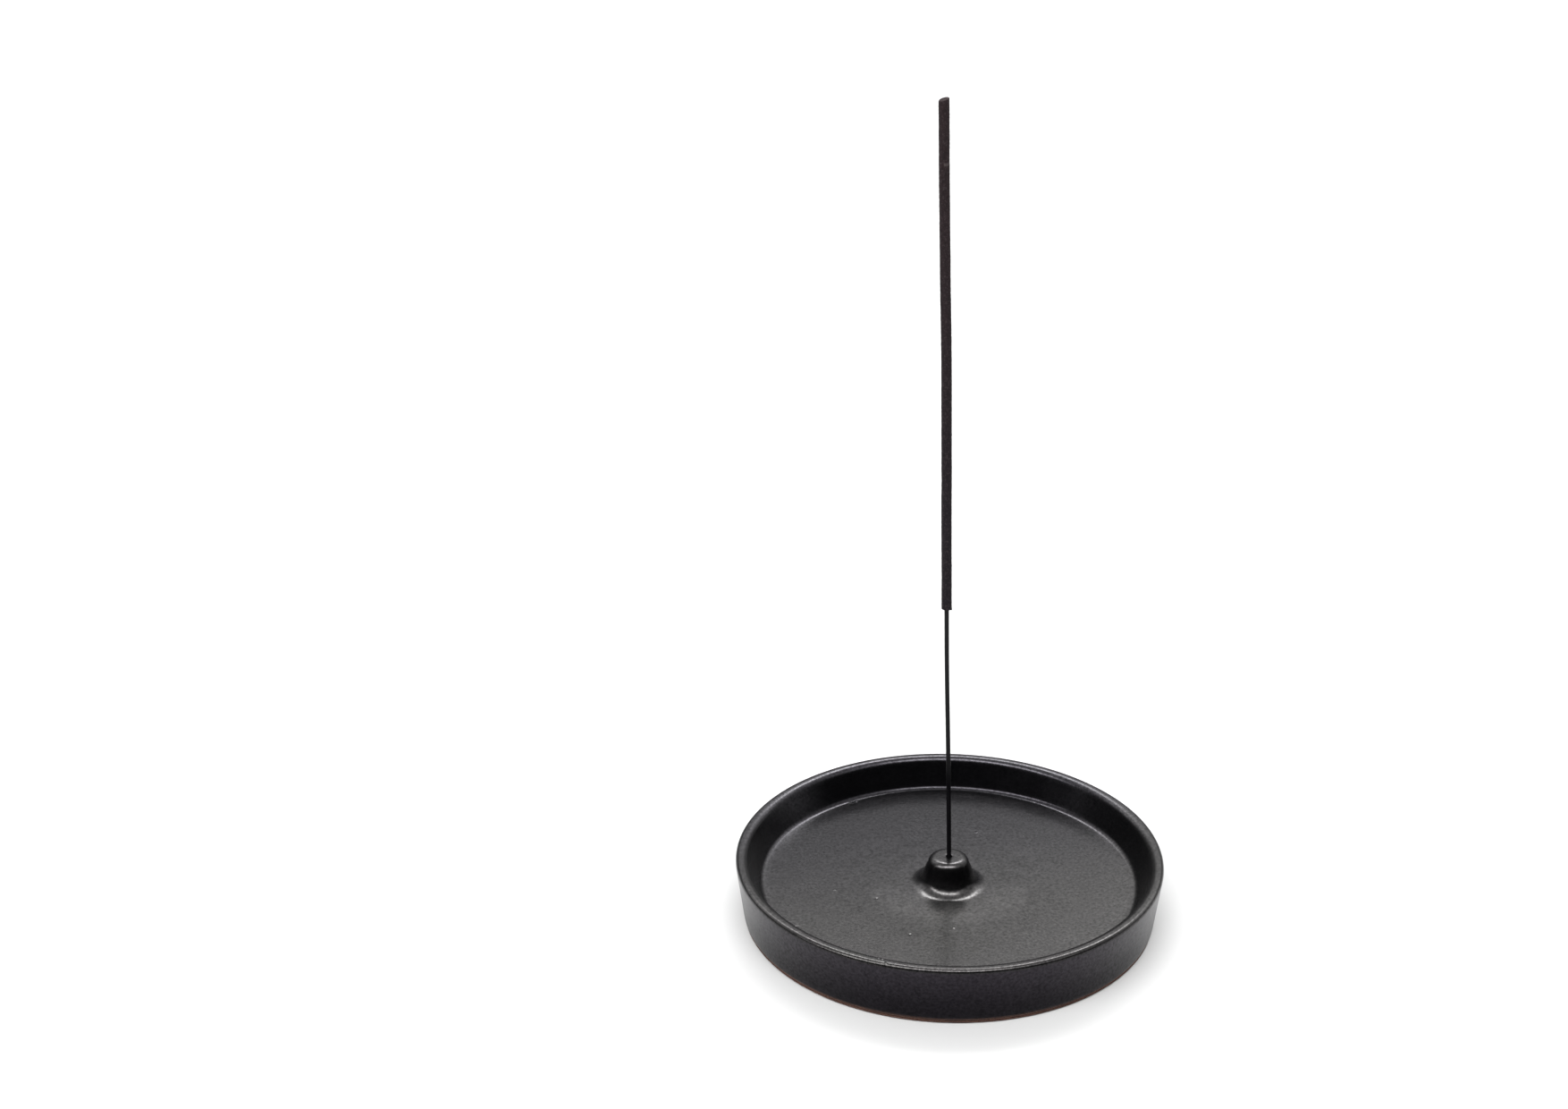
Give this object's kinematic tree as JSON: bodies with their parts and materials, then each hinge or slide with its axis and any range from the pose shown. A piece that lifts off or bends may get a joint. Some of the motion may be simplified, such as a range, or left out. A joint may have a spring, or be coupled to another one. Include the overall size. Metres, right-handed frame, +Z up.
{
  "type": "incense burner",
  "caption": "Round black glazed dish with a drilled centre boss that holds an upright coated incense stick and catches its ash.",
  "frame": {"origin": "centre of the foot, on the surface that the dish stands on", "axes": "+Z up through the boss; -Y is the front and +X is to the right of it; the stick leans slightly towards -X"},
  "size_m": [0.12, 0.12, 0.2319],
  "materials": {
    "bare_clay": "unglazed reddish-brown fired clay, fine matte grain",
    "black_glaze": "satin black glaze, soft highlights, fine pinholes",
    "dyed_bamboo": "split bamboo dyed charcoal black, fine lengthwise grain",
    "incense_paste": "dry matte paste of wood powder and charcoal, granular and pitted"
  },
  "bodies": {
    "dish": {"clay_body": "bare_clay", "glaze_coat": "black_glaze"},
    "stick": {"stick_core": "dyed_bamboo", "incense_coating": "incense_paste"}
  },
  "joints": [
    {"name": "stick_lift", "type": "slide", "parent": "dish", "child": "stick", "axis": [-0.0236, 0, 0.9997], "range_m": [0, 0.04]}
  ]
}
